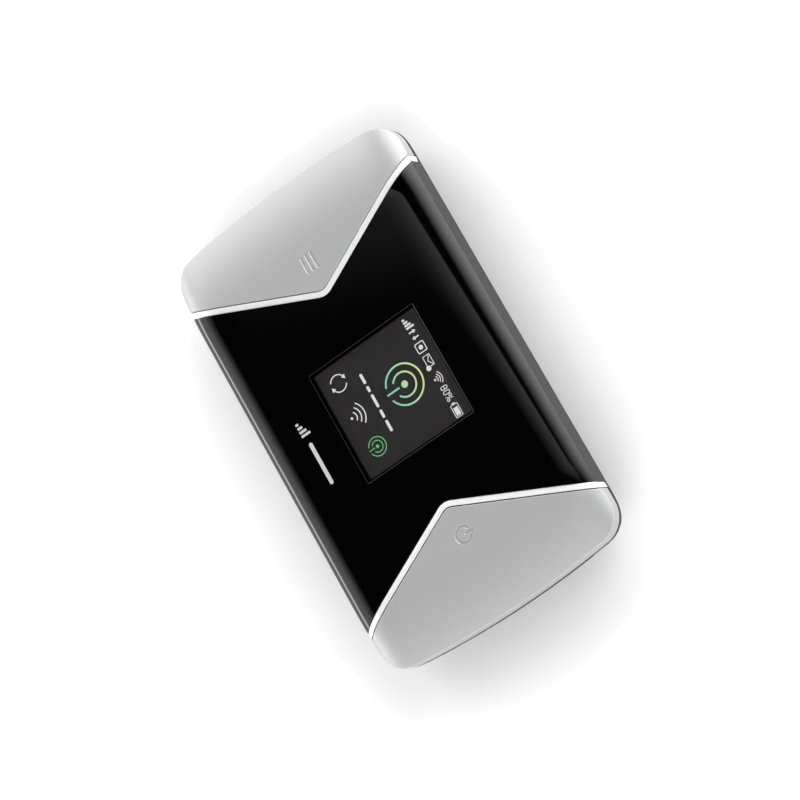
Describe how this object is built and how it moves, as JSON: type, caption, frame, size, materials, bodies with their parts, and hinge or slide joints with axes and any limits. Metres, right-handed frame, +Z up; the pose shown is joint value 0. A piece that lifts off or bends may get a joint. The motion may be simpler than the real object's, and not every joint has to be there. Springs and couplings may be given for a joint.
{
  "type": "mobile hotspot",
  "caption": "Flat pocket mobile hotspot: glossy waisted front with square window, two sprung V-shaped silver key ends, bright trims, side band, removable battery and clip-fit tray cover.",
  "frame": {"origin": "middle of the footprint, on the resting face of the rear cover", "axes": "+X along the length towards the power key end, +Y across the width away from the USB port, +Z up out of the screen"},
  "size_m": [0.1124, 0.0666, 0.016],
  "materials": {
    "gloss_black": "high gloss, piano black",
    "satin_silver": "satin silver paint on plastic",
    "bright_trim": "bright plated",
    "band_grey": "fine matt texture",
    "cover_black": "fine matt texture",
    "clear_lens": "clear, gloss",
    "screen_glass": "dark screen, faintly lit",
    "backlight_white": "matt white",
    "steel": "pressed sheet, satin",
    "board_green": "solder mask",
    "chip_black": "moulded epoxy",
    "ceramic_tan": "fired, matt",
    "foam_black": "closed cell foam",
    "flex_amber": "polyimide film",
    "connector_ivory": "moulded, matt",
    "gold_contact": "gold plated",
    "antenna_copper": "printed copper",
    "cell_alloy": "pouch foil, satin",
    "sleeve_white": "printed film, plain",
    "thermal_blue": "soft pad",
    "card_white": "smooth card"
  },
  "bodies": {
    "chassis": {"front_panel": "gloss_black", "display_lens": "clear_lens", "menu_trim": "bright_trim", "power_trim": "bright_trim", "mid_frame": "band_grey", "display_gasket": "foam_black", "display_glass": "screen_glass", "display_backlight": "backlight_white", "display_frame": "steel", "display_flex": "flex_amber", "display_connector": "connector_ivory", "main_board": "board_green", "modem_shield": "steel", "wifi_shield": "steel", "power_shield": "steel", "modem_chip": "chip_black", "thermal_pad": "thermal_blue", "memory_chip": "chip_black", "wifi_chip": "chip_black", "power_chip": "chip_black", "board_passives": "ceramic_tan", "antenna_clips": "gold_contact", "board_screws": "steel", "chassis_screws": "steel", "usb_shell": "steel", "usb_tongue": "chip_black", "sim_base": "chip_black", "sim_cage": "steel", "microsd_base": "chip_black", "microsd_cage": "steel", "battery_connector": "chip_black", "battery_springs": "gold_contact", "menu_switch": "steel", "power_switch": "steel", "reset_switch": "steel", "main_antenna": "antenna_copper", "diversity_antenna": "antenna_copper", "wifi_antennas": "antenna_copper"},
    "menu_key": {"menu_key_cap": "satin_silver"},
    "power_key": {"power_key_cap": "satin_silver"},
    "menu_plunger": {"menu_plunger": "chip_black"},
    "power_plunger": {"power_plunger": "chip_black"},
    "reset_plunger": {"reset_plunger": "chip_black"},
    "battery": {"battery_cell": "cell_alloy", "battery_label": "sleeve_white", "battery_end_cap": "chip_black", "battery_contacts": "gold_contact"},
    "rear_cover": {"rear_cover": "cover_black"},
    "sim_card": {"sim_card": "card_white", "sim_card_contacts": "gold_contact"}
  },
  "joints": [
    {"name": "menu_key_press", "type": "hinge", "parent": "chassis", "child": "menu_key", "pos_m": [-0.0524, 0, 0.0109], "axis": [0, 1, 0], "range_deg": [0, 0.9], "stiffness_Nm_per_rad": 2},
    {"name": "power_key_press", "type": "hinge", "parent": "chassis", "child": "power_key", "pos_m": [0.0524, 0, 0.0109], "axis": [0, -1, 0], "range_deg": [0, 0.9], "stiffness_Nm_per_rad": 2},
    {"name": "menu_plunger_travel", "type": "slide", "parent": "chassis", "child": "menu_plunger", "axis": [0, 0, -1], "range_m": [0, 0.00025]},
    {"name": "power_plunger_travel", "type": "slide", "parent": "chassis", "child": "power_plunger", "axis": [0, 0, -1], "range_m": [0, 0.00025]},
    {"name": "reset_press", "type": "slide", "parent": "chassis", "child": "reset_plunger", "axis": [0, 0, 1], "range_m": [0, 0.00025], "stiffness_N_per_m": 1500},
    {"name": "cover_removal", "type": "slide", "parent": "rear_cover", "child": "battery", "axis": [0, 0, 1], "range_m": [0, 0.03]},
    {"name": "battery_removal", "type": "slide", "parent": "battery", "child": "chassis", "axis": [0, 0, 1], "range_m": [0, 0.02]},
    {"name": "sim_slide", "type": "slide", "parent": "chassis", "child": "sim_card", "axis": [0, -1, 0], "range_m": [0, 0.014]}
  ],
  "couplings": [
    {"joint": "menu_plunger_travel", "follows": "menu_key_press", "m_per_rad": 0.0159},
    {"joint": "power_plunger_travel", "follows": "power_key_press", "m_per_rad": 0.0159}
  ]
}
